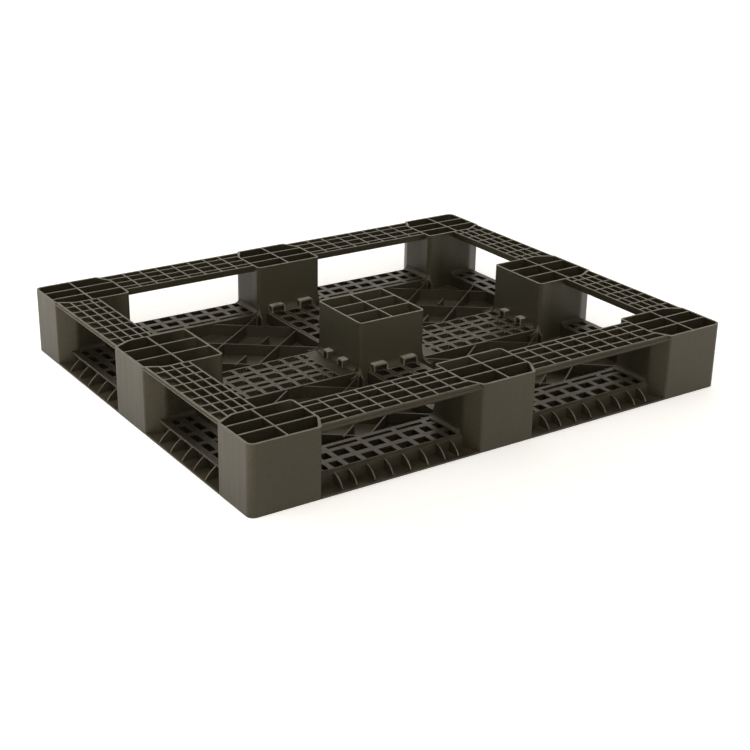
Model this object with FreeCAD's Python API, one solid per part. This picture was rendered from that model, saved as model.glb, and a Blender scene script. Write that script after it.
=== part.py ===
import FreeCAD, Part
import math
import os

# A nine-block plastic pallet with a perimeter base, lying on its load deck.
# Millimetres. The origin is the centre of the footprint on the floor, X runs along
# the 1200 side, Y along the 1000 side and +Z points up, out of the base frame.

# Overall size
LENGTH = 1200.0
WIDTH = 1000.0
HEIGHT = 150.0

# Blocks: hollow posts with a closed foot, open at the top
BLOCK_LENGTH = 174.5          # corner and side blocks, along X
MIDDLE_SPAN = 175.0           # middle blocks, along the side they stand on
END_DEPTH = 141.0             # front and back blocks, along Y
BLOCK_WALL = 4.5
BLOCK_RIB = 4.0
BLOCK_FLOOR = 4.0
CORNER_RIB_X = 83.0           # lengthwise rib of a side block, from the outer face
END_RIBS_Y = (50.8, 95.0)     # cross ribs of a front or back block, from the outer face
MIDDLE_RIBS = (-28.8, 28.8)   # cross ribs of a middle block, from its centre
CORNER_RADIUS = 16.0
INNER_RADIUS = 10.0
CHEEK_ALONG = 21.0            # bevel beside a runner: its size along the runner
CHEEK_ACROSS = 40.0           # and across it
CHEEK_RADIUS = 25.0
EDGE_RADIUS = 6.0

# Runners: shallow trays of ribs between the block tops
RUNNER_DEPTH = 15.0
RUNNER_SKIN = 2.5
RUNNER_RIB = 4.0
# Outer lips: reach past the ribs, drop, and how far in the underside slopes to full depth
END_LIP = (8.0, 5.5, 8.0)
SIDE_LIP = (4.0, 3.0, 13.0)
LIP_THICKNESS = 1.5
SIDE_OUTER_FLOOR = 141.5      # the outermost cells of a side runner are shallower
END_RUNNER_RIBS = (33.4, 64.8, 96.9)
END_RUNNER_WIDTH = 117.0
END_RUNNER_PITCH = 42.66
SIDE_RUNNER_RIBS = (30.2, 52.8, 75.3)
SIDE_RUNNER_WIDTH = 96.0
SIDE_RUNNER_PITCH = 38.2
NARROW_CELL = 0.33            # end cells thinner than this share of a pitch are left out

# Deck: a load sheet on the floor with box ribs on it
SHEET = 4.0
DECK_TOP = 33.0
PLATE = 4.0
WEB = 3.0
END_COLUMNS = (21.0, 63.0, 105.0, 138.0)   # cross webs either side of a bay's middle
SIDE_COLUMNS = (0.0, 49.0, 98.0)
HOLE_MARGIN = 6.0                           # plate left between a web and a hole

# Front and back deck strips; offsets run inward from the pallet's edge
END_WALL = 37.0
END_RIM = 43.0
END_RIM_DROP = 6.0
END_ROW_LINES = (40.0, 76.5, 114.5, 139.5)
END_ROW_HOLES = ((45.0, 69.5), (84.0, 108.5))
END_SLOT = (120.5, 130.5)

# Left and right deck strips
SIDE_WALL = 26.0              # the plate's outer edge
SIDE_RECESS = 38.0            # the wall under it, set back behind the fins
SIDE_STRIP = 103.0
SIDE_ROW_LINES = (39.5, 65.5, 101.5)
SIDE_ROW_HOLES = ((41.0, 58.0), (73.0, 90.0))

# Strips along X beside the centre block
CROSS_HALF = 79.0
CROSS_LINES = (-77.0, -46.2, -15.4, 15.4, 46.2, 77.0)
CROSS_RIB = 4.0
CROSS_SLOT = 13.0
SHALLOW_FLOOR = 25.0
SHORT_TRAY = 14.0             # trays and slots nearest the centre block stop early

# Strips along Y beside the centre block
SPINE_HALF = 66.0
SPINE_COLUMNS = (-60.0, -20.0, 20.0, 60.0)
SPINE_PITCH = 45.7

# Fins that carry the deck's outer edge
FIN_THICKNESS = 3.0
END_FIN_BOW = (0.33, 0.62)    # how far in and up a fin's bowed edge passes
SIDE_FIN_BOW = (0.45, 0.56)
END_FIN_FOOT = 6.0
SIDE_FIN_FOOT = 1.5

# Skirts: concave ramps from the deck up to a block, some with window frames in them
STRIP_RADIUS = 9.0            # on the outer strips
CROSS_RADIUS = 9.0            # on the strips beside the centre block, along X
SPINE_RADIUS = 15.0           # and along Y
SKIRT_TOE = 1.5
SKIRT_LEDGE = 1.5
SKIRT_GAP = 4.0
FRAME_HEIGHT = 19.0
FRAME_WALL = 4.0
FRAME_CORNER = 3.0
CROSS_WINDOW = 15.0
CROSS_FRAME_REACH = 16.0
SPINE_FRAME_REACH = 16.0
SPINE_WINDOW = 31.0

# Gussets that brace a block's corners
GUSSET_REACH = 27.0
GUSSET_TOP = 55.0
GUSSET_THICKNESS = 4.5
GUSSET_OUTER_TOP = 27.0
GUSSET_HOLLOW = (0.3, 0.58)   # how far out and up a gusset's curved edge passes
GUSSET_ROOT = 6.0             # how far a gusset reaches into the block
GUSSET_ANGLES = (14.0, 45.0, 76.0)

# Panels between the deck strips
LATTICE_SLOPE = 0.76
LATTICE_RIB = 3.5
LATTICE_TOP = 31.0
RISING_RIBS = (-141.0, 14.0, 160.0)        # where each crosses the bay's left edge
FALLING_RIBS = (125.0, 275.0, 430.0)
STUB_RIBS = ((130.0, 16.0, 63.0), (248.0, 104.0, 46.0))    # start x, y and length, rising

X_BLOCKS = (-1, 0, 1)
Y_BLOCKS = (-1, 0, 1)
SIDE_NAMES = {-1: "left", 0: "middle", 1: "right"}
END_NAMES = {-1: "front", 0: "middle", 1: "back"}

BAY_X = (LENGTH / 2 - BLOCK_LENGTH + MIDDLE_SPAN / 2) / 2     # middle of a bay from the centre
BAY_Y = (WIDTH / 2 - END_DEPTH + MIDDLE_SPAN / 2) / 2
HALF_BAY_X = LENGTH / 2 - BLOCK_LENGTH - BAY_X
HALF_BAY_Y = WIDTH / 2 - END_DEPTH - BAY_Y


def vector(x, y, z=0.0):
    return FreeCAD.Vector(x, y, z)


def box(x0, x1, y0, y1, z0, z1):
    """A box between two corners."""
    low = vector(min(x0, x1), min(y0, y1), min(z0, z1))
    return Part.makeBox(abs(x1 - x0), abs(y1 - y0), abs(z1 - z0), low)


def rounded_wire(corners, z):
    """A closed outline at height z from (x, y, radius) corners."""
    entries = []
    count = len(corners)
    for index, (x, y, radius) in enumerate(corners):
        here = vector(x, y, z)
        before = vector(corners[index - 1][0], corners[index - 1][1], z)
        after = vector(corners[(index + 1) % count][0], corners[(index + 1) % count][1], z)
        if radius <= 0:
            entries.append((here, here, here))
            continue
        to_before = (before - here).normalize()
        to_after = (after - here).normalize()
        half = to_before.getAngle(to_after) / 2
        start = here + to_before * (radius / math.tan(half))
        end = here + to_after * (radius / math.tan(half))
        inward = (to_before + to_after).normalize()
        centre = here + inward * (radius / math.sin(half))
        entries.append((start, centre - inward * radius, end))
    edges = []
    for index, (start, middle, end) in enumerate(entries):
        if (end - start).Length > 1e-6:
            edges.append(Part.Arc(start, middle, end).toShape())
        following = entries[(index + 1) % count][0]
        if (following - end).Length > 1e-6:
            edges.append(Part.makeLine(end, following))
    return Part.Wire(edges)


def prism(corners, z0, z1):
    """An upright prism on a rounded outline."""
    return Part.Face(rounded_wire(corners, z0)).extrude(vector(0, 0, z1 - z0))


def profile_along_x(points, x0, x1):
    """A (y, z) outline drawn out along X."""
    wire = Part.makePolygon([vector(x0, y, z) for y, z in points + points[:1]])
    return Part.Face(wire).extrude(vector(x1 - x0, 0, 0))


def profile_along_y(points, y0, y1):
    """An (x, z) outline drawn out along Y."""
    wire = Part.makePolygon([vector(x, y0, z) for x, z in points + points[:1]])
    return Part.Face(wire).extrude(vector(0, y1 - y0, 0))


def place(shape, side, end):
    """Move a shape made in the front left quarter to the quarter given by the signs."""
    if side > 0:
        shape = shape.mirror(vector(0, 0), vector(1, 0))
    if end > 0:
        shape = shape.mirror(vector(0, 0), vector(0, 1))
    return shape


def save(shape, name):
    """Write one sub-part after checking that it is sound."""
    if not shape.isValid():
        raise ValueError(name + " is not a valid shape")
    shape.exportStep("parts/" + name + ".step")


# Blocks

def block_corners(inset):
    """The outlines of a corner, an end, a side and the centre block, pulled in by inset."""
    left = -LENGTH / 2 + inset
    front = -WIDTH / 2 + inset
    right = -LENGTH / 2 + BLOCK_LENGTH - inset
    back = -WIDTH / 2 + END_DEPTH - inset
    half = MIDDLE_SPAN / 2 - inset
    along = CHEEK_ALONG
    across = CHEEK_ACROSS - inset / 2
    outer = CORNER_RADIUS - inset
    inner = INNER_RADIUS - inset
    corner = [
        (left, front, outer),
        (right - along, front, EDGE_RADIUS),
        (right, front + across, CHEEK_RADIUS),
        (right, back, inner),
        (left + across, back, CHEEK_RADIUS),
        (left, back - along, EDGE_RADIUS),
    ]
    end = [
        (-half + along, front, EDGE_RADIUS),
        (half - along, front, EDGE_RADIUS),
        (half, front + across, CHEEK_RADIUS),
        (half, back, inner),
        (-half, back, inner),
        (-half, front + across, CHEEK_RADIUS),
    ]
    side = [
        (left, -half + along, EDGE_RADIUS),
        (left + across, -half, CHEEK_RADIUS),
        (right, -half, inner),
        (right, half, inner),
        (left + across, half, CHEEK_RADIUS),
        (left, half - along, EDGE_RADIUS),
    ]
    centre = [(-half, -half, inner), (half, -half, inner), (half, half, inner), (-half, half, inner)]
    return {"corner": corner, "end": end, "side": side, "centre": centre}


def block_kind(side, end):
    """Which of the four block shapes stands at a place in the three by three grid."""
    if side and end:
        return "corner"
    if end:
        return "end"
    return "side" if side else "centre"


def block_ribs(kind):
    """The upright ribs inside a block, as boxes longer than the block is wide."""
    middle_x = -LENGTH / 2 + CORNER_RIB_X if kind in ("corner", "side") else 0.0
    if kind in ("corner", "end"):
        rows = [-WIDTH / 2 + offset for offset in END_RIBS_Y]
    else:
        rows = MIDDLE_RIBS
    half = BLOCK_RIB / 2
    ribs = [box(middle_x - half, middle_x + half, -WIDTH, WIDTH, 0, HEIGHT)]
    for y in rows:
        ribs.append(box(-LENGTH, LENGTH, y - half, y + half, 0, HEIGHT))
    return ribs


def block_outer(kind):
    return prism(block_corners(0.0)[kind], 0, HEIGHT)


def skirt(middle, half_length, radius, ledge):
    """A concave ramp standing on the deck, leaning on a wall at x = 0 and running along Y."""
    reach = radius + ledge
    bend = reach - radius * math.sqrt(0.5)
    toe = vector(reach, 0, DECK_TOP)
    lip = vector(reach, 0, DECK_TOP + SKIRT_TOE)
    crown = vector(ledge, 0, DECK_TOP + SKIRT_TOE + radius)
    back = vector(0, 0, DECK_TOP + SKIRT_TOE + radius)
    middle_of_arc = vector(bend, 0, DECK_TOP + SKIRT_TOE + radius * (1 - math.sqrt(0.5)))
    edges = [
        Part.makeLine(vector(0, 0, DECK_TOP), toe),
        Part.makeLine(toe, lip),
        Part.Arc(lip, middle_of_arc, crown).toShape(),
        Part.makeLine(crown, back),
        Part.makeLine(back, vector(0, 0, DECK_TOP)),
    ]
    ramp = Part.Face(Part.Wire(edges)).extrude(vector(0, 2 * half_length, 0))
    ramp.translate(vector(0, middle - half_length))
    return ramp


def arch(low, high, top, radius, depth):
    """An upright arch standing on the deck, drawn out from a wall at x = 0."""
    corners = [(-DECK_TOP, low, 0), (-top, low, radius), (-top, high, radius), (-DECK_TOP, high, 0)]
    face = Part.Face(rounded_wire(corners, 0))
    solid = face.extrude(vector(0, 0, depth))
    solid.rotate(vector(0, 0), vector(0, 1, 0), 90.0)
    return solid


def framed_skirt(half_length, radius, offset, width, reach):
    """A low ramp with two upright window frames in it, one either side of the middle."""
    ramp = skirt(0.0, half_length, radius, SKIRT_LEDGE)
    top = DECK_TOP + FRAME_HEIGHT
    frames = []
    openings = []
    for centre in (-offset, offset):
        low = centre - width / 2
        high = centre + width / 2
        frames.append(arch(low - FRAME_WALL, high + FRAME_WALL, top, FRAME_CORNER + FRAME_WALL / 2, reach))
        opening = arch(low, high, top - FRAME_WALL, FRAME_CORNER, reach)
        opening.translate(vector(1, 0))
        openings.append(opening)
    return ramp.fuse(frames).cut(Part.makeCompound(openings)).removeSplitter()


def turned(shape, quarter_turns, x, y):
    """A shape leaning on x = 0, turned about Z and moved to a block's wall."""
    shape = shape.copy()
    shape.rotate(vector(0, 0), vector(0, 0, 1), 90.0 * quarter_turns)
    shape.translate(vector(x, y))
    return shape


def block_skirts(kind):
    """The ramps round a block, one on each wall that meets a deck strip."""
    end_y = -WIDTH / 2 + (END_RIM + END_DEPTH - SKIRT_GAP) / 2
    end_half = (END_DEPTH - SKIRT_GAP - END_RIM) / 2
    side_x = -LENGTH / 2 + (CHEEK_ACROSS + SKIRT_GAP + SIDE_STRIP) / 2
    side_half = (SIDE_STRIP - CHEEK_ACROSS - SKIRT_GAP) / 2
    half = MIDDLE_SPAN / 2
    right = -LENGTH / 2 + BLOCK_LENGTH
    back = -WIDTH / 2 + END_DEPTH
    end_skirt = skirt(0.0, end_half, STRIP_RADIUS, SKIRT_LEDGE)
    side_skirt = skirt(0.0, side_half, STRIP_RADIUS, SKIRT_LEDGE)
    row_middle = (CROSS_LINES[-2] + CROSS_LINES[-3]) / 2
    cross_skirt = framed_skirt(CROSS_HALF - SKIRT_GAP, CROSS_RADIUS, row_middle, CROSS_WINDOW,
                               CROSS_FRAME_REACH)
    column_middle = (SPINE_COLUMNS[-1] + SPINE_COLUMNS[-2]) / 2
    spine_skirt = framed_skirt(SPINE_HALF - SKIRT_GAP / 2, SPINE_RADIUS, column_middle, SPINE_WINDOW,
                               SPINE_FRAME_REACH)
    if kind == "corner":
        return [turned(end_skirt, 0, right, end_y), turned(side_skirt, 1, side_x, back)]
    if kind == "end":
        return [turned(end_skirt, 0, half, end_y), turned(end_skirt, 2, -half, end_y),
                turned(spine_skirt, 1, 0.0, back)]
    if kind == "side":
        return [turned(cross_skirt, 0, right, 0.0), turned(side_skirt, 1, side_x, half),
                turned(side_skirt, 3, side_x, -half)]
    return [turned(cross_skirt, 0, half, 0.0), turned(cross_skirt, 2, -half, 0.0),
            turned(spine_skirt, 1, 0.0, half), turned(spine_skirt, 3, 0.0, -half)]


def gusset(x, y, angle):
    """A thin concave fin from a block's rounded corner down to the panel beside it."""
    foot = vector(GUSSET_REACH, 0, SHEET)
    step = vector(GUSSET_REACH, 0, GUSSET_OUTER_TOP)
    crown = vector(0, 0, GUSSET_TOP)
    hollow = vector(GUSSET_REACH * GUSSET_HOLLOW[0], 0, SHEET + (GUSSET_TOP - SHEET) * GUSSET_HOLLOW[1])
    root = vector(-GUSSET_ROOT, 0, SHEET)
    edges = [
        Part.makeLine(root, foot),
        Part.makeLine(foot, step),
        Part.Arc(step, hollow, crown).toShape(),
        Part.makeLine(crown, vector(-GUSSET_ROOT, 0, GUSSET_TOP)),
        Part.makeLine(vector(-GUSSET_ROOT, 0, GUSSET_TOP), root),
    ]
    fin = Part.Face(Part.Wire(edges)).extrude(vector(0, GUSSET_THICKNESS, 0))
    fin.translate(vector(0, -GUSSET_THICKNESS / 2))
    fin.rotate(vector(0, 0), vector(0, 0, 1), angle)
    fin.translate(vector(x, y))
    return fin


def block_gussets(kind):
    """The corner gussets of a block, standing in the panels next to it."""
    right = -LENGTH / 2 + BLOCK_LENGTH
    back = -WIDTH / 2 + END_DEPTH
    half = MIDDLE_SPAN / 2
    corners = {
        "corner": [(right, back, 0)],
        "end": [(half, back, 0), (-half, back, 1)],
        "side": [(right, half, 0), (right, -half, 3)],
        "centre": [(half, half, 0), (-half, half, 1), (-half, -half, 2), (half, -half, 3)],
    }
    pull = INNER_RADIUS * (1 - math.sqrt(0.5))
    gussets = []
    for x, y, quarter in corners[kind]:
        sign_x = 1 if quarter in (0, 3) else -1
        sign_y = 1 if quarter in (0, 1) else -1
        for angle in GUSSET_ANGLES:
            gussets.append(gusset(x - sign_x * pull, y - sign_y * pull, 90.0 * quarter + angle))
    return gussets


def make_block(kind):
    """A hollow block with a closed foot, upright ribs, skirts and corner gussets."""
    outer = block_outer(kind)
    hollow = prism(block_corners(BLOCK_WALL)[kind], BLOCK_FLOOR, HEIGHT)
    cells = hollow.cut(Part.makeCompound(block_ribs(kind)))
    return outer.fuse(block_skirts(kind) + block_gussets(kind)).cut(cells).removeSplitter()


# Runners

def cell_spans(rails, width, inset):
    """The clear spans between lengthwise ribs, from the outer lip to the inner rib."""
    half = RUNNER_RIB / 2
    starts = [inset + RUNNER_RIB] + [rail + half for rail in rails]
    ends = [rail - half for rail in rails] + [width - RUNNER_RIB]
    return list(zip(starts, ends))


def bay_columns(middle, half_bay, pitch):
    """The clear spans between cross ribs at a pitch from the middle of a bay."""
    half = RUNNER_RIB / 2
    reach = int(half_bay / pitch)
    ribs = [middle + pitch * step for step in range(-reach, reach + 1)]
    if half_bay - reach * pitch < pitch * NARROW_CELL:
        ribs = ribs[1:-1]
    margin = CHEEK_ALONG + BLOCK_WALL
    starts = [middle - half_bay - margin] + [rib + half for rib in ribs]
    ends = [rib - half for rib in ribs] + [middle + half_bay + margin]
    return list(zip(starts, ends))


def runner_profile(edge, width, inset, drop, slope):
    """Section of a runner: a bevelled outer lip, a sloping underside and a deep inner edge."""
    under = HEIGHT - RUNNER_DEPTH
    lip = HEIGHT - drop
    return [
        (edge + inset, HEIGHT),
        (edge, lip),
        (edge, lip - LIP_THICKNESS),
        (edge + slope, under),
        (edge + width, under),
        (edge + width, HEIGHT),
    ]


def make_end_runner():
    """The front left runner, between the corner block and the end block."""
    edge = -WIDTH / 2
    reach = HALF_BAY_X + CHEEK_ALONG
    section = runner_profile(edge, END_RUNNER_WIDTH, *END_LIP)
    body = profile_along_x(section, -BAY_X - reach, -BAY_X + reach)
    floor = HEIGHT - RUNNER_DEPTH + RUNNER_SKIN
    cells = []
    for x0, x1 in bay_columns(-BAY_X, HALF_BAY_X, END_RUNNER_PITCH):
        for y0, y1 in cell_spans(END_RUNNER_RIBS, END_RUNNER_WIDTH, END_LIP[0]):
            cells.append(box(x0, x1, edge + y0, edge + y1, floor, HEIGHT + 1))
    body = body.cut(Part.makeCompound(cells))
    return body.cut(Part.makeCompound([block_outer("corner"), block_outer("end")]))


def make_side_runner():
    """The left front runner, between the corner block and the side block."""
    edge = -LENGTH / 2
    reach = HALF_BAY_Y + CHEEK_ALONG
    section = runner_profile(edge, SIDE_RUNNER_WIDTH, *SIDE_LIP)
    body = profile_along_y(section, -BAY_Y - reach, -BAY_Y + reach)
    floor = HEIGHT - RUNNER_DEPTH + RUNNER_SKIN
    cells = []
    spans = cell_spans(SIDE_RUNNER_RIBS, SIDE_RUNNER_WIDTH, SIDE_LIP[0])
    for y0, y1 in bay_columns(-BAY_Y, HALF_BAY_Y, SIDE_RUNNER_PITCH):
        for x0, x1 in spans:
            low = SIDE_OUTER_FLOOR if x0 == spans[0][0] else floor
            cells.append(box(edge + x0, edge + x1, y0, y1, low, HEIGHT + 1))
    body = body.cut(Part.makeCompound(cells))
    return body.cut(Part.makeCompound([block_outer("corner"), block_outer("side")]))


# Deck strips

def boxed_cells(x_spans, y_spans):
    """Hollow cells between the load sheet and the plate."""
    tools = []
    for x0, x1 in x_spans:
        for y0, y1 in y_spans:
            tools.append(box(x0, x1, y0, y1, SHEET, DECK_TOP - PLATE))
    return tools


def plate_holes(x_spans, y_spans):
    """Openings through the plate."""
    tools = []
    for x0, x1 in x_spans:
        for y0, y1 in y_spans:
            tools.append(box(x0, x1, y0, y1, DECK_TOP - PLATE - 1, DECK_TOP + 1))
    return tools


def spans_between(lines, gap):
    """Clear spans between neighbouring lines, each pulled in by half a gap."""
    return [(a + gap / 2, b - gap / 2) for a, b in zip(lines[:-1], lines[1:])]


def mirrored(offsets, middle):
    """Positions either side of a middle, in order."""
    places = {round(middle + sign * offset, 4) for offset in offsets for sign in (-1, 1)}
    return sorted(places)


def fin_face(foot, head, back, top, bow, plane):
    """Outline of a fin: a flat foot on the sheet and a bowed edge up to its head."""
    bow_in = foot + (head - foot) * bow[0]
    bow_up = SHEET + (top - SHEET) * bow[1]
    start = plane(foot, SHEET)
    end = plane(head, top)
    inner_top = plane(back, top)
    inner_foot = plane(back, SHEET)
    edges = [
        Part.Arc(start, plane(bow_in, bow_up), end).toShape(),
        Part.makeLine(end, inner_top),
        Part.makeLine(inner_top, inner_foot),
        Part.makeLine(inner_foot, start),
    ]
    return Part.Face(Part.Wire(edges))


def make_end_strip():
    """The front left deck strip: two rows of square holes, a slot row and outer fins."""
    edge = -WIDTH / 2
    x0 = -BAY_X - HALF_BAY_X
    x1 = -BAY_X + HALF_BAY_X
    section = [
        (edge, 0.0),
        (edge, SHEET),
        (edge + END_WALL, SHEET),
        (edge + END_WALL, DECK_TOP - END_RIM_DROP),
        (edge + END_RIM, DECK_TOP),
        (edge + END_DEPTH, DECK_TOP),
        (edge + END_DEPTH, 0.0),
    ]
    body = profile_along_x(section, x0 - CHEEK_ALONG, x1 + CHEEK_ALONG)
    webs = mirrored(END_COLUMNS, -BAY_X)
    columns = spans_between([x0 + WEB / 2] + webs + [x1 - WEB / 2], WEB)
    rows = spans_between([edge + y for y in END_ROW_LINES], WEB)
    body = body.cut(Part.makeCompound(boxed_cells(columns, rows)))
    margin = HOLE_MARGIN - WEB / 2
    pairs = [(columns[i][0], columns[min(i + 1, len(columns) - 1)][1]) for i in range(0, len(columns), 2)]
    holes = plate_holes([(a + margin, b - margin) for a, b in columns],
                        [(edge + a, edge + b) for a, b in END_ROW_HOLES])
    holes += plate_holes([(a + margin, b - margin) for a, b in pairs],
                         [(edge + END_SLOT[0], edge + END_SLOT[1])])
    body = body.cut(Part.makeCompound(holes))
    fins = []
    for x in webs:
        face = fin_face(edge + END_FIN_FOOT, edge + END_WALL, edge + END_WALL + WEB,
                        DECK_TOP - END_RIM_DROP, END_FIN_BOW,
                        lambda y, z, x=x: vector(x - FIN_THICKNESS / 2, y, z))
        fins.append(face.extrude(vector(FIN_THICKNESS, 0, 0)))
    neighbours = [block_outer("corner"), block_outer("end")]
    neighbours += block_gussets("corner") + block_gussets("end")
    return body.fuse(fins).removeSplitter().cut(Part.makeCompound(neighbours))


def make_side_strip():
    """The left front deck strip: two columns of long holes and wider-spaced fins."""
    edge = -LENGTH / 2
    y0 = -BAY_Y - HALF_BAY_Y
    y1 = -BAY_Y + HALF_BAY_Y
    section = [
        (edge, 0.0),
        (edge, SHEET),
        (edge + SIDE_RECESS, SHEET),
        (edge + SIDE_RECESS, DECK_TOP - PLATE),
        (edge + SIDE_WALL, DECK_TOP - PLATE),
        (edge + SIDE_WALL, DECK_TOP),
        (edge + SIDE_STRIP, DECK_TOP),
        (edge + SIDE_STRIP, 0.0),
    ]
    body = profile_along_y(section, y0 - CHEEK_ALONG, y1 + CHEEK_ALONG)
    webs = mirrored(SIDE_COLUMNS, -BAY_Y)
    rows = spans_between([y0 + WEB / 2] + webs + [y1 - WEB / 2], WEB)
    columns = spans_between([edge + x for x in SIDE_ROW_LINES], WEB)
    body = body.cut(Part.makeCompound(boxed_cells(columns, rows)))
    holes = plate_holes([(edge + a, edge + b) for a, b in SIDE_ROW_HOLES],
                        [(a + HOLE_MARGIN - WEB / 2, b - HOLE_MARGIN + WEB / 2) for a, b in rows])
    body = body.cut(Part.makeCompound(holes))
    fins = []
    for y in webs:
        face = fin_face(edge + SIDE_FIN_FOOT, edge + SIDE_WALL, edge + SIDE_RECESS + WEB / 2,
                        DECK_TOP - PLATE, SIDE_FIN_BOW,
                        lambda x, z, y=y: vector(x, y - FIN_THICKNESS / 2, z))
        fins.append(face.extrude(vector(0, FIN_THICKNESS, 0)))
    neighbours = [block_outer("corner"), block_outer("side")]
    return body.fuse(fins).removeSplitter().cut(Part.makeCompound(neighbours))


def make_cross_strip():
    """The left strip along X: three rows of shallow trays and two rows of slots."""
    x0 = -BAY_X - HALF_BAY_X
    x1 = -BAY_X + HALF_BAY_X
    body = box(x0, x1, -CROSS_HALF, CROSS_HALF, 0, DECK_TOP)
    webs = mirrored(END_COLUMNS, -BAY_X)
    columns = spans_between([x0 + WEB / 2] + webs + [x1 - WEB / 2], WEB)
    rows = spans_between(list(CROSS_LINES), CROSS_RIB)
    tools = boxed_cells(columns, rows[1::2])
    openings = [(a + HOLE_MARGIN / 2, b - HOLE_MARGIN / 2) for a, b in columns[:-2]]
    openings.append((columns[-2][0] + HOLE_MARGIN / 2, columns[-2][0] + HOLE_MARGIN / 2 + SHORT_TRAY))
    for a, b in openings:
        for y0, y1 in rows[0::2]:
            tools.append(box(a, b, y0, y1, SHALLOW_FLOOR, DECK_TOP + 1))
    body = body.cut(Part.makeCompound(tools))
    slots = [((y0 + y1 - CROSS_SLOT) / 2, (y0 + y1 + CROSS_SLOT) / 2) for y0, y1 in rows[1::2]]
    holes = plate_holes(openings, slots)
    return body.cut(Part.makeCompound(holes))


def make_spine_strip():
    """The front strip along Y: three columns of square holes."""
    y0 = -BAY_Y - HALF_BAY_Y
    y1 = -BAY_Y + HALF_BAY_Y
    body = box(-SPINE_HALF, SPINE_HALF, y0, y1, 0, DECK_TOP)
    webs = [-BAY_Y + SPINE_PITCH * step for step in range(-2, 3)]
    rows = spans_between([y0 + WEB / 2] + webs + [y1 - WEB / 2], WEB)
    columns = spans_between(list(SPINE_COLUMNS), WEB)
    body = body.cut(Part.makeCompound(boxed_cells(columns, rows)))
    margin = HOLE_MARGIN - WEB / 2
    holes = plate_holes([(a + margin, b - margin) for a, b in columns],
                        [(a + margin, b - margin) for a, b in rows])
    return body.cut(Part.makeCompound(holes))


# Panels

def lattice_rib(slope, intercept, origin_x, origin_y):
    """A thin upright rib along the line y = slope x + intercept."""
    angle = math.degrees(math.atan(slope))
    rib = box(-LENGTH, LENGTH, -LATTICE_RIB / 2, LATTICE_RIB / 2, SHEET, LATTICE_TOP)
    rib.rotate(vector(0, 0), vector(0, 0, 1), angle)
    rib.translate(vector(origin_x, origin_y + intercept))
    return rib


def stub_rib(x, y, length):
    """A short upright rib that starts at a point and runs along the rising direction."""
    rib = box(0, length, -LATTICE_RIB / 2, LATTICE_RIB / 2, SHEET, LATTICE_TOP)
    rib.rotate(vector(0, 0), vector(0, 0, 1), math.degrees(math.atan(LATTICE_SLOPE)))
    rib.translate(vector(x, y))
    return rib


def panel_outline(side, end, z0, z1):
    """The floor area between the strips of one quarter, as a prism."""
    outer_x = LENGTH / 2 - SIDE_STRIP
    inner_x = SPINE_HALF
    outer_y = WIDTH / 2 - END_DEPTH
    inner_y = MIDDLE_SPAN / 2
    wide = box(side * outer_x, side * inner_x, end * outer_y, end * inner_y, z0, z1)
    narrow = box(side * (BAY_X + HALF_BAY_X), side * (BAY_X - HALF_BAY_X),
                 end * inner_y, end * CROSS_HALF, z0, z1)
    return wide.fuse(narrow).removeSplitter()


def make_panel(side, end):
    """A load sheet stiffened by a lattice of diagonal ribs."""
    sheet = panel_outline(side, end, 0, SHEET)
    area = panel_outline(side, end, SHEET, LATTICE_TOP)
    origin_x = side * BAY_X - HALF_BAY_X
    origin_y = end * BAY_Y - HALF_BAY_Y
    ribs = [lattice_rib(LATTICE_SLOPE, c, origin_x, origin_y) for c in RISING_RIBS]
    ribs += [lattice_rib(-LATTICE_SLOPE, c, origin_x, origin_y) for c in FALLING_RIBS]
    for x, y, length in STUB_RIBS:
        ribs.append(stub_rib(origin_x + x, origin_y + y, length))
    lattice = ribs[0].fuse(ribs[1:]).common(area)
    braces = []
    for block_side in (side, 0):
        for block_end in (end, 0):
            for brace in block_gussets(block_kind(block_side, block_end)):
                braces.append(place(brace, block_side, block_end))
    return sheet.fuse(lattice).removeSplitter().cut(Part.makeCompound(braces))


def main():
    os.makedirs("parts", exist_ok=True)
    blocks = {kind: make_block(kind) for kind in ("corner", "end", "side", "centre")}
    for side in X_BLOCKS:
        for end in Y_BLOCKS:
            kind = block_kind(side, end)
            name = "centre_block" if kind == "centre" else "block_" + END_NAMES[end] + "_" + SIDE_NAMES[side]
            save(place(blocks[kind], side, end), name)
    end_runner = make_end_runner()
    side_runner = make_side_runner()
    end_strip = make_end_strip()
    side_strip = make_side_strip()
    cross_strip = make_cross_strip()
    spine_strip = make_spine_strip()
    for side in (-1, 1):
        save(place(cross_strip, side, -1), "deck_cross_strip_" + SIDE_NAMES[side])
        save(place(spine_strip, -1, side), "deck_spine_strip_" + END_NAMES[side])
        for end in (-1, 1):
            quarter = END_NAMES[end] + "_" + SIDE_NAMES[side]
            save(place(end_runner, side, end), "end_runner_" + quarter)
            save(place(side_runner, side, end), "side_runner_" + quarter)
            save(place(end_strip, side, end), "deck_end_strip_" + quarter)
            save(place(side_strip, side, end), "deck_side_strip_" + quarter)
            save(make_panel(side, end), "deck_panel_" + quarter)


main()
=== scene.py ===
import math
import bmesh
import bpy
from mathutils import Matrix, Vector


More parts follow.
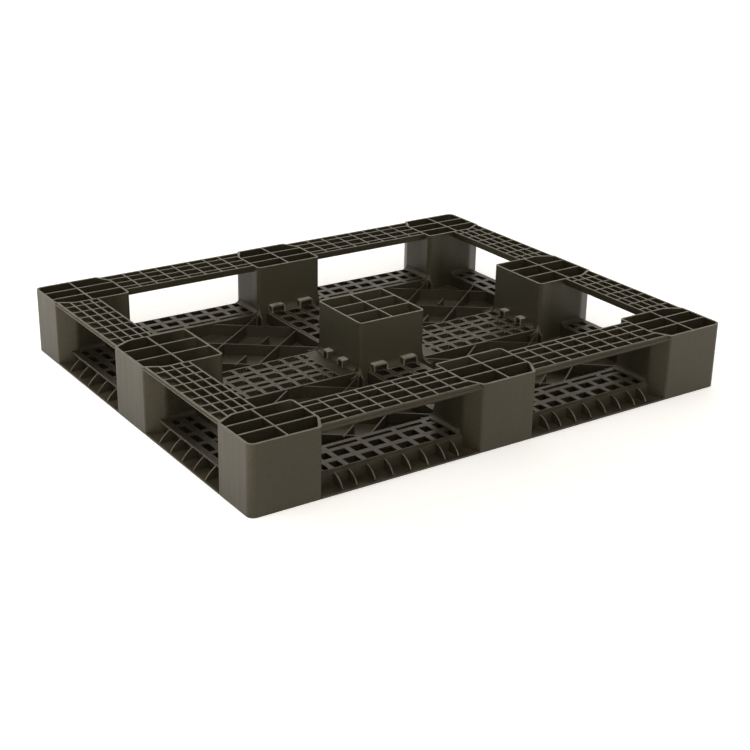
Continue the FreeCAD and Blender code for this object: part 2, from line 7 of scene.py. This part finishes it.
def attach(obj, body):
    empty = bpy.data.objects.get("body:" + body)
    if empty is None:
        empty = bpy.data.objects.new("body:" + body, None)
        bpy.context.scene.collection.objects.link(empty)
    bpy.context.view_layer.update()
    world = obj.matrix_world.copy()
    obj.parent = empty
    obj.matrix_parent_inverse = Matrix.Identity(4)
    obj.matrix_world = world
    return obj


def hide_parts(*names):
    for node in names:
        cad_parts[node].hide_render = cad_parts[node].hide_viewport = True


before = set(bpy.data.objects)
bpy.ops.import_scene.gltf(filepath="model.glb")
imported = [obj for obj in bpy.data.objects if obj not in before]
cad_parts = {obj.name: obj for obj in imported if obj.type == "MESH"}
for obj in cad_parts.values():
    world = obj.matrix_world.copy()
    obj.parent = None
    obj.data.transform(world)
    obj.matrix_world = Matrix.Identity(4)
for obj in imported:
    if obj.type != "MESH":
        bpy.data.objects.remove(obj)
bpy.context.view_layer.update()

# Camera, measured for a picture as wide as it is high
CAMERA_AZIMUTH = -34.543
CAMERA_ELEVATION = 22.585
CAMERA_ROLL = 1.139
CAMERA_DISTANCE = 3.32639
CAMERA_TARGET = (-0.01832, -0.04785, 0.0)
SENSOR_WIDTH = 36.0
FOCAL_LENGTH = 70.29

# Moulded edges
MERGE_DISTANCE = 0.00001
EDGE_ANGLE = 35.0
EDGE_WIDTH = 0.0009
EDGE_SEGMENTS = 2
FACE_WEIGHT = 100

# Plastic of each material slot: a dark and a light tone, how thick the dust lies, how much painted
# fill light, a pale film, lies on everything inside the pallet, and how rough it is
LOOKS = {
    "blocks": ((0.026, 0.023, 0.0135), (0.036, 0.032, 0.019), 0.12, 0.55, 0.45),
    "runners": ((0.029, 0.025, 0.015), (0.040, 0.035, 0.021), 0.2, 0.0, 0.46),
    "deck": ((0.024, 0.021, 0.013), (0.036, 0.031, 0.020), 0.45, 0.1, 0.48),
}

# Pale edges of each slot, part wear and part painted highlight: a dark and a light tone, and the
# heights over which they begin. Those of the blocks start at the floor, the runners' and the deck's
# near their tops.
WEAR_AND_HIGHLIGHT = {
    "blocks": ((0.110, 0.100, 0.078), (0.230, 0.212, 0.175), (-0.002, -0.001)),
    "runners": ((0.110, 0.100, 0.078), (0.230, 0.212, 0.175), (0.1455, 0.1470)),
    "deck": ((0.150, 0.137, 0.108), (0.310, 0.285, 0.235), (0.0258, 0.0280)),
}
WORN_DUST = 0.10
WORN_ROUGHNESS = 0.42

# Gloss
SPECULAR = 0.38
SPECULAR_TINT = (1.0, 0.93, 0.78, 1.0)
ROUGHNESS_SPREAD = 0.05
STREAK_ROUGHNESS = 0.04

# Noise patterns: a scale, a detail and a roughness
CLOUDS = (6.0, 5.0, 0.6)
SPECKLES = (260.0, 3.0, 0.7)
DUST_PATCHES = (22.0, 6.0, 0.65)
RUB_AND_HIGHLIGHT_PATCHES = (40.0, 4.0, 0.6)
FLOW_LINES = (1.0, 3.0, 0.6)
FLOW_STRETCH = (90.0, 90.0, 5.0)
GRAIN = (900.0, 2.0, 0.5)
FLOW_HEIGHT = 0.6             # against the height of the grain
BUMP_STRENGTH = 0.25
BUMP_DISTANCE = 0.0004

# Painted fill light: a pale film that lifts the shade on everything inside the pallet, fading out
# over these distances from its centre
PAINTED_FILL_COLOUR = (0.080, 0.074, 0.050)
PAINTED_FILL_X = (0.435, 0.465)
PAINTED_FILL_Y = (0.370, 0.400)

# Dust on the upward faces, thickest at the floor
DUST_COLOUR = (0.085, 0.070, 0.046)
DUST_TOP = 0.06
DUST_ROUGHNESS = 0.25

# Scuffs on the top of the base frame, painted pale also as a painted highlight
SCUFF_AND_HIGHLIGHT_COLOUR = (0.135, 0.124, 0.100)
SCUFF_AND_HIGHLIGHT_HEIGHTS = (0.1485, 0.1497)

# Painted highlights on the window frames at the feet of the blocks: the heights of their
# painted-pale tops, the planes of their fronts, and the heights between which the fronts are painted
# pale
FRAME_HIGHLIGHT_COLOUR = (0.340, 0.320, 0.275)
FRAME_TOP = (0.0495, 0.0535)
FRAME_TOP_FADE = 0.001
FRAME_TOP_HIGHLIGHT_GAIN = 3.0           # against the other rubs
FRAME_FRONTS = (("X", 0.1035), ("X", 0.4095), ("Y", 0.1035), ("Y", 0.343))
FRAME_HEIGHTS = (0.034, 0.0535)
FRAME_REACH = 0.0012          # either side of a front's plane

# Deck only: painted shade on the floors of the shallow trays and painted highlights on the outward
# edges of the outer fins
SHADED_TRAY_FLOOR = (0.0245, 0.0255)
TRAY_SHADE_COLOUR = (0.012, 0.010, 0.007)
TRAY_SHADE_AMOUNT = 0.75
FIN_HIGHLIGHT_COLOUR = (0.215, 0.198, 0.160)
FIN_HEIGHTS = (0.005, 0.0285)
FIN_START_X = 0.563
FIN_START_Y = 0.464
FIN_SIDE = 0.8                # faces that look further sideways than this are a fin's sides

# Studio light: broad glows in the surroundings, each a direction, a sharpness and a strength
GLOWS = (
    ((0.0, 0.0, 1.0), 30.0, 2.6),
    ((-0.35, -0.7, 0.6), 8.0, 2.6),
    ((0.7, 0.7, 0.25), 4.0, 1.7),
    ((-0.2, 0.9, 0.3), 4.0, 0.9),
    ((-1.0, 0.2, 0.1), 8.0, 0.45),
    ((0.7, -0.7, 0.15), 4.0, 0.3),
)
GLOW_COLOUR = (1.0, 0.955, 0.87)

# Low lights beside the pallet, narrow enough to strike only the floor: a name, a place, a size
# and a power
FLOOR_LIGHTS = (
    ("floor_light_left", (-1.5, -0.1), (1.5, 2.4), 16.0),
    ("floor_light_right", (1.0, -1.3), (1.2, 0.9), 4.0),
)
FLOOR_LIGHT_HEIGHT = 0.9
FLOOR_LIGHT_SPREAD = 50.0

# Floor
FLOOR_HALF_SIZE = 12.0
FLOOR_HEIGHT = -0.0005
FLOOR_COLOUR = (0.93, 0.93, 0.93, 1.0)
FLOOR_ROUGHNESS = 0.9
FLOOR_GLOW = 0.4


def new_material(name):
    """An empty node material and its node tree."""
    material = bpy.data.materials.new(name)
    material.use_nodes = True
    tree = material.node_tree
    tree.nodes.clear()
    return material, tree


def link(tree, source, target):
    """Join an output socket to an input socket."""
    tree.links.new(source, target)


def add_noise(tree, coords, scale, detail, roughness):
    """Noise texture in object space."""
    node = tree.nodes.new("ShaderNodeTexNoise")
    node.inputs["Scale"].default_value = scale
    node.inputs["Detail"].default_value = detail
    node.inputs["Roughness"].default_value = roughness
    link(tree, coords, node.inputs["Vector"])
    return node.outputs["Fac"]


def add_ramp(tree, value, stops):
    """Map a value to colours."""
    node = tree.nodes.new("ShaderNodeValToRGB")
    ramp = node.color_ramp
    while len(ramp.elements) < len(stops):
        ramp.elements.new(0.5)
    for element, (place, colour) in zip(ramp.elements, stops):
        element.position = place
        element.color = (*colour, 1.0)
    link(tree, value, node.inputs["Fac"])
    return node.outputs["Color"]


def map_range(tree, value, low, high, to_low, to_high):
    """Carry a value from one range to another, held at its ends."""
    node = tree.nodes.new("ShaderNodeMapRange")
    node.inputs["From Min"].default_value = low
    node.inputs["From Max"].default_value = high
    node.inputs["To Min"].default_value = to_low
    node.inputs["To Max"].default_value = to_high
    link(tree, value, node.inputs["Value"])
    return node.outputs["Result"]


def mix_colour(tree, factor, first, second, blend="MIX"):
    """Mix two colours, each a socket or a plain colour."""
    node = tree.nodes.new("ShaderNodeMix")
    node.data_type = "RGBA"
    node.blend_type = blend
    sockets = {socket.identifier: socket for socket in node.inputs}
    for value, key in ((factor, "Factor_Float"), (first, "A_Color"), (second, "B_Color")):
        if isinstance(value, float):
            sockets[key].default_value = value
        elif isinstance(value, tuple):
            sockets[key].default_value = (*value, 1.0)
        else:
            link(tree, value, sockets[key])
    return {socket.identifier: socket for socket in node.outputs}["Result_Color"]


def grey(tree, value):
    """A colour with the same value in every channel."""
    node = tree.nodes.new("ShaderNodeCombineColor")
    for channel in ("Red", "Green", "Blue"):
        link(tree, value, node.inputs[channel])
    return node.outputs["Color"]


def math_node(tree, operation, first, second):
    """Arithmetic on two values, each a socket or a number."""
    node = tree.nodes.new("ShaderNodeMath")
    node.operation = operation
    for value, socket in ((first, node.inputs[0]), (second, node.inputs[1])):
        if isinstance(value, float):
            socket.default_value = value
        else:
            link(tree, value, socket)
    return node.outputs["Value"]


def stretched(tree, coords, scale):
    """Coordinates scaled differently along X, Y and Z."""
    node = tree.nodes.new("ShaderNodeMapping")
    node.inputs["Scale"].default_value = scale
    link(tree, coords, node.inputs["Vector"])
    return node.outputs["Vector"]


def product(tree, *factors):
    """The product of several values, each a socket or a number."""
    total = factors[0]
    for factor in factors[1:]:
        total = math_node(tree, "MULTIPLY", total, factor)
    return total


def split_axes(tree, vector):
    """The X, Y and Z of a vector, as the outputs of one node."""
    node = tree.nodes.new("ShaderNodeSeparateXYZ")
    link(tree, vector, node.inputs["Vector"])
    return node.outputs


def between(tree, value, limits):
    """1 where a value lies between two limits, 0 elsewhere."""
    above = math_node(tree, "GREATER_THAN", value, limits[0])
    return product(tree, above, math_node(tree, "LESS_THAN", value, limits[1]))


def fin_edge_highlights(tree, place, facing):
    """Mask for painted highlights: 1 on the outward edges of the fins along the four sides, 0
    elsewhere.
    """
    outward = []
    for axis, other, start in (("X", "Y", FIN_START_X), ("Y", "X", FIN_START_Y)):
        distance = math_node(tree, "ABSOLUTE", place[axis], 0.0)
        sideways = math_node(tree, "ABSOLUTE", facing[other], 0.0)
        beyond = math_node(tree, "GREATER_THAN", distance, start)
        turned_out = math_node(tree, "LESS_THAN", sideways, FIN_SIDE)
        outward.append(product(tree, beyond, turned_out))
    on_side = math_node(tree, "MAXIMUM", *outward)
    return product(tree, on_side, between(tree, place["Z"], FIN_HEIGHTS))


def frame_front_highlights(tree, place):
    """Mask for painted highlights: 1 on the outward faces of the window frames at the feet of the
    blocks, 0 elsewhere.
    """
    nearest = 0.0
    for axis, front in FRAME_FRONTS:
        distance = math_node(tree, "ABSOLUTE", place[axis], 0.0)
        near = between(tree, distance, (front - FRAME_REACH, front + FRAME_REACH))
        nearest = math_node(tree, "MAXIMUM", nearest, near)
    return product(tree, nearest, between(tree, place["Z"], FRAME_HEIGHTS))


def frame_top_highlights(tree, place, upward):
    """How much painted highlight lies on the tops of the window frames."""
    low, high = FRAME_TOP
    above_deck = map_range(tree, place["Z"], low, low + FRAME_TOP_FADE, 0.0, FRAME_TOP_HIGHLIGHT_GAIN)
    below_gusset = map_range(tree, place["Z"], high - FRAME_TOP_FADE, high, 1.0, 0.0)
    return product(tree, above_deck, below_gusset, upward)


def clouded(tree, cloud, dark, light):
    """A colour that drifts between a dark and a light tone."""
    return add_ramp(tree, cloud, [(0.3, dark), (0.7, light)])


def painted_fill_mask(tree, place, amount):
    """How much painted fill light, a pale film, lies on a point: all of it well inside the pallet,
    none outside.
    """
    along_x = math_node(tree, "ABSOLUTE", place["X"], 0.0)
    along_y = math_node(tree, "ABSOLUTE", place["Y"], 0.0)
    inside_x = map_range(tree, along_x, *PAINTED_FILL_X, amount, 0.0)
    return product(tree, inside_x, map_range(tree, along_y, *PAINTED_FILL_Y, 1.0, 0.0))


def dust_mask(tree, coords, place, facing, amount):
    """How much loose dust lies on a point: patchy, on upward faces and near the floor."""
    patches = map_range(tree, add_noise(tree, coords, *DUST_PATCHES), 0.42, 0.62, 0.0, amount)
    upward = map_range(tree, facing["Z"], 0.3, 0.9, 0.25, 1.0)
    low_down = map_range(tree, place["Z"], DUST_TOP, 0.0, 0.3, 1.0)
    return product(tree, patches, upward, low_down)


def scuffs_and_painted_light(tree, base, coords, place, facing, name):
    """The colour with scuffed base ribs that also carry a painted highlight, painted highlights on
    the window frames and fin edges, and painted shade on the tray floors.
    """
    rub_and_highlight_patches = map_range(tree, add_noise(tree, coords, *RUB_AND_HIGHLIGHT_PATCHES), 0.35, 0.65, 0.15, 0.75)
    upward = map_range(tree, facing["Z"], 0.5, 0.8, 0.0, 1.0)
    scuff_and_highlight_zone = map_range(tree, place["Z"], *SCUFF_AND_HIGHLIGHT_HEIGHTS, 0.0, 1.0)
    # Scuffs on the base rib tops, painted pale also as a painted highlight
    base = mix_colour(tree, product(tree, rub_and_highlight_patches, scuff_and_highlight_zone), base, SCUFF_AND_HIGHLIGHT_COLOUR)
    # Painted highlight on the tops of the window frames
    base = mix_colour(tree, product(tree, rub_and_highlight_patches, frame_top_highlights(tree, place, upward)), base, FRAME_HIGHLIGHT_COLOUR)
    if name.endswith("blocks"):
        # Painted highlight on the fronts of the window frames
        base = mix_colour(tree, product(tree, frame_front_highlights(tree, place), rub_and_highlight_patches), base, FRAME_HIGHLIGHT_COLOUR)
    if name == "plastic_deck":
        # Painted shade on the floors of the shallow trays
        tray_shade = product(tree, between(tree, place["Z"], SHADED_TRAY_FLOOR), upward, TRAY_SHADE_AMOUNT)
        base = mix_colour(tree, tray_shade, base, TRAY_SHADE_COLOUR)
        # Painted highlight on the outward edges of the fins
        base = mix_colour(tree, product(tree, fin_edge_highlights(tree, place, facing), rub_and_highlight_patches), base, FIN_HIGHLIGHT_COLOUR)
    return base


def surface_roughness(tree, rough, cloud, flow, dust):
    """Roughness that drifts with the clouds, streaks along the flow and rises under dust."""
    drift = map_range(tree, cloud, 0.2, 0.8, rough - ROUGHNESS_SPREAD, rough + ROUGHNESS_SPREAD)
    streaks = map_range(tree, flow, 0.3, 0.7, -STREAK_ROUGHNESS, STREAK_ROUGHNESS)
    clean = math_node(tree, "ADD", drift, streaks)
    return math_node(tree, "ADD", clean, product(tree, dust, DUST_ROUGHNESS))


def grain_normal(tree, coords, flow):
    """A normal with a fine grain and faint flow lines."""
    grain = add_noise(tree, coords, *GRAIN)
    bump = tree.nodes.new("ShaderNodeBump")
    bump.inputs["Strength"].default_value = BUMP_STRENGTH
    bump.inputs["Distance"].default_value = BUMP_DISTANCE
    link(tree, math_node(tree, "ADD", grain, product(tree, flow, FLOW_HEIGHT)), bump.inputs["Height"])
    return bump.outputs["Normal"]


def moulded_plastic(name, dark, light, dust_amount, painted_fill_amount, rough, edge_wear_and_highlight=None):
    """Moulded plastic: a clouded colour under dust, painted fill light, scuffs, painted highlights
    and painted shade, with a fine grain.
    """
    material, tree = new_material(name)
    nodes = tree.nodes
    coords = nodes.new("ShaderNodeTexCoord").outputs["Object"]
    place = split_axes(tree, coords)
    facing = split_axes(tree, nodes.new("ShaderNodeNewGeometry").outputs["Normal"])
    cloud = add_noise(tree, coords, *CLOUDS)
    flow = add_noise(tree, stretched(tree, coords, FLOW_STRETCH), *FLOW_LINES)

    base = clouded(tree, cloud, dark, light)
    # Pale edges: part wear, part painted highlight, also on the outward fin edges
    if edge_wear_and_highlight:
        worn_highlight_dark, worn_highlight_light, heights = edge_wear_and_highlight
        worn_and_highlight = map_range(tree, place["Z"], *heights, 0.0, 1.0)
        worn_and_highlight = math_node(tree, "MAXIMUM", worn_and_highlight, fin_edge_highlights(tree, place, facing))
        base = mix_colour(tree, worn_and_highlight, base, clouded(tree, cloud, worn_highlight_dark, worn_highlight_light))
    speckle = map_range(tree, add_noise(tree, coords, *SPECKLES), 0.35, 0.65, 0.82, 1.18)
    base = mix_colour(tree, 1.0, base, grey(tree, speckle), "MULTIPLY")
    # Painted fill light: a pale film on everything inside the pallet
    base = mix_colour(tree, painted_fill_mask(tree, place, painted_fill_amount), base, PAINTED_FILL_COLOUR)
    dust = dust_mask(tree, coords, place, facing, dust_amount)
    base = mix_colour(tree, dust, base, DUST_COLOUR)
    base = scuffs_and_painted_light(tree, base, coords, place, facing, name)

    shader = nodes.new("ShaderNodeBsdfPrincipled")
    link(tree, base, shader.inputs["Base Color"])
    link(tree, surface_roughness(tree, rough, cloud, flow, dust), shader.inputs["Roughness"])
    link(tree, grain_normal(tree, coords, flow), shader.inputs["Normal"])
    shader.inputs["Specular IOR Level"].default_value = SPECULAR
    shader.inputs["Specular Tint"].default_value = SPECULAR_TINT
    output = nodes.new("ShaderNodeOutputMaterial")
    link(tree, shader.outputs["BSDF"], output.inputs["Surface"])
    return material


def look_from(target, azimuth, elevation, roll, distance):
    """Camera matrix: azimuth 0 looks along +Y, elevation lifts the camera."""
    a = math.radians(azimuth)
    e = math.radians(elevation)
    r = math.radians(roll)
    back = Vector((math.sin(a) * math.cos(e), -math.cos(a) * math.cos(e), math.sin(e)))
    right = Vector((math.cos(a), math.sin(a), 0.0))
    up = back.cross(right)
    right_rolled = right * math.cos(r) + up * math.sin(r)
    up_rolled = up * math.cos(r) - right * math.sin(r)
    matrix = Matrix((right_rolled, up_rolled, back)).transposed().to_4x4()
    matrix.translation = Vector(target) + back * distance
    return matrix


def add_camera():
    """The camera, at the measured viewing angle."""
    data = bpy.data.cameras.new("camera")
    data.sensor_width = SENSOR_WIDTH
    data.lens = FOCAL_LENGTH
    camera = bpy.data.objects.new("camera", data)
    bpy.context.collection.objects.link(camera)
    camera.matrix_world = look_from(CAMERA_TARGET, CAMERA_AZIMUTH, CAMERA_ELEVATION, CAMERA_ROLL,
                                    CAMERA_DISTANCE)
    bpy.context.scene.camera = camera


def add_floor():
    """A plain pale floor just under the pallet."""
    half = FLOOR_HALF_SIZE
    corners = [(-half, -half), (half, -half), (half, half), (-half, half)]
    mesh = bpy.data.meshes.new("floor")
    mesh.from_pydata([(x, y, FLOOR_HEIGHT) for x, y in corners], [], [(0, 1, 2, 3)])
    floor = bpy.data.objects.new("floor", mesh)
    bpy.context.collection.objects.link(floor)
    material, tree = new_material("floor_paint")
    shader = tree.nodes.new("ShaderNodeBsdfPrincipled")
    shader.inputs["Base Color"].default_value = FLOOR_COLOUR
    shader.inputs["Emission Color"].default_value = (1.0, 1.0, 1.0, 1.0)
    shader.inputs["Emission Strength"].default_value = FLOOR_GLOW
    shader.inputs["Roughness"].default_value = FLOOR_ROUGHNESS
    output = tree.nodes.new("ShaderNodeOutputMaterial")
    link(tree, shader.outputs["BSDF"], output.inputs["Surface"])
    mesh.materials.append(material)


def add_floor_light(name, place, size, power):
    """A low downward light beside the pallet, whose bounce brightens the faces next to it."""
    data = bpy.data.lights.new(name, "AREA")
    data.shape = "RECTANGLE"
    data.size, data.size_y = size
    data.spread = math.radians(FLOOR_LIGHT_SPREAD)
    data.energy = power
    data.color = GLOW_COLOUR
    light = bpy.data.objects.new(name, data)
    bpy.context.collection.objects.link(light)
    light.location = (*place, FLOOR_LIGHT_HEIGHT)


def add_world():
    """Studio surroundings: the sum of soft glows, each fading away from its direction."""
    world = bpy.data.worlds.new("studio")
    world.use_nodes = True
    tree = world.node_tree
    background = tree.nodes["Background"]
    direction = tree.nodes.new("ShaderNodeTexCoord").outputs["Generated"]
    total = 0.0
    for axis, sharpness, strength in GLOWS:
        dot = tree.nodes.new("ShaderNodeVectorMath")
        dot.operation = "DOT_PRODUCT"
        dot.inputs[1].default_value = Vector(axis).normalized()
        link(tree, direction, dot.inputs[0])
        facing = math_node(tree, "MAXIMUM", dot.outputs["Value"], 0.0)
        glow = math_node(tree, "POWER", facing, sharpness)
        total = math_node(tree, "ADD", total, product(tree, glow, strength))
    background.inputs["Color"].default_value = (*GLOW_COLOUR, 1.0)
    link(tree, total, background.inputs["Strength"])
    bpy.context.scene.world = world


def moulded_piece(node, surface, edge):
    """A copy of a CAD sub-part with joined-up corners and softly rounded edges, painted pale for wear
    and as a painted highlight.
    """
    source = bpy.data.objects[node]
    mesh = source.data.copy()
    shape = bmesh.new()
    shape.from_mesh(mesh)
    bmesh.ops.remove_doubles(shape, verts=shape.verts, dist=MERGE_DISTANCE)
    for face in shape.faces:
        face.smooth = True
        face.material_index = 0
    shape.to_mesh(mesh)
    shape.free()
    mesh.materials.clear()
    mesh.materials.append(surface)
    mesh.materials.append(edge)
    piece = bpy.data.objects.new(node + "_moulded", mesh)
    bpy.context.collection.objects.link(piece)
    bevel = piece.modifiers.new("edges", "BEVEL")
    bevel.width = EDGE_WIDTH
    bevel.segments = EDGE_SEGMENTS
    bevel.limit_method = "ANGLE"
    bevel.angle_limit = math.radians(EDGE_ANGLE)
    bevel.material = 1
    weighted = piece.modifiers.new("shading", "WEIGHTED_NORMAL")
    weighted.weight = FACE_WEIGHT
    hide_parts(node)
    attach(piece, "root")
    return piece


def slot_of(node):
    """The material slot a sub-part takes its finish from."""
    if "runner" in node:
        return "runners"
    return "deck" if node.startswith("deck") else "blocks"


surfaces = {slot: moulded_plastic("plastic_" + slot, *look) for slot, look in LOOKS.items()}
worn_and_highlight_edges = {}
for slot, (dark_tone, light_tone, _, _, _) in LOOKS.items():
    worn_and_highlight_edges[slot] = moulded_plastic("worn_highlight_edge_" + slot, dark_tone, light_tone, WORN_DUST, 0.0,
                                       WORN_ROUGHNESS, WEAR_AND_HIGHLIGHT[slot])
for node_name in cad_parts:
    slot_name = slot_of(node_name)
    moulded_piece(node_name, surfaces[slot_name], worn_and_highlight_edges[slot_name])

add_camera()
add_floor()
for light_name, light_place, light_size, light_power in FLOOR_LIGHTS:
    add_floor_light(light_name, light_place, light_size, light_power)
add_world()
bpy.context.scene.view_settings.view_transform = "Standard"
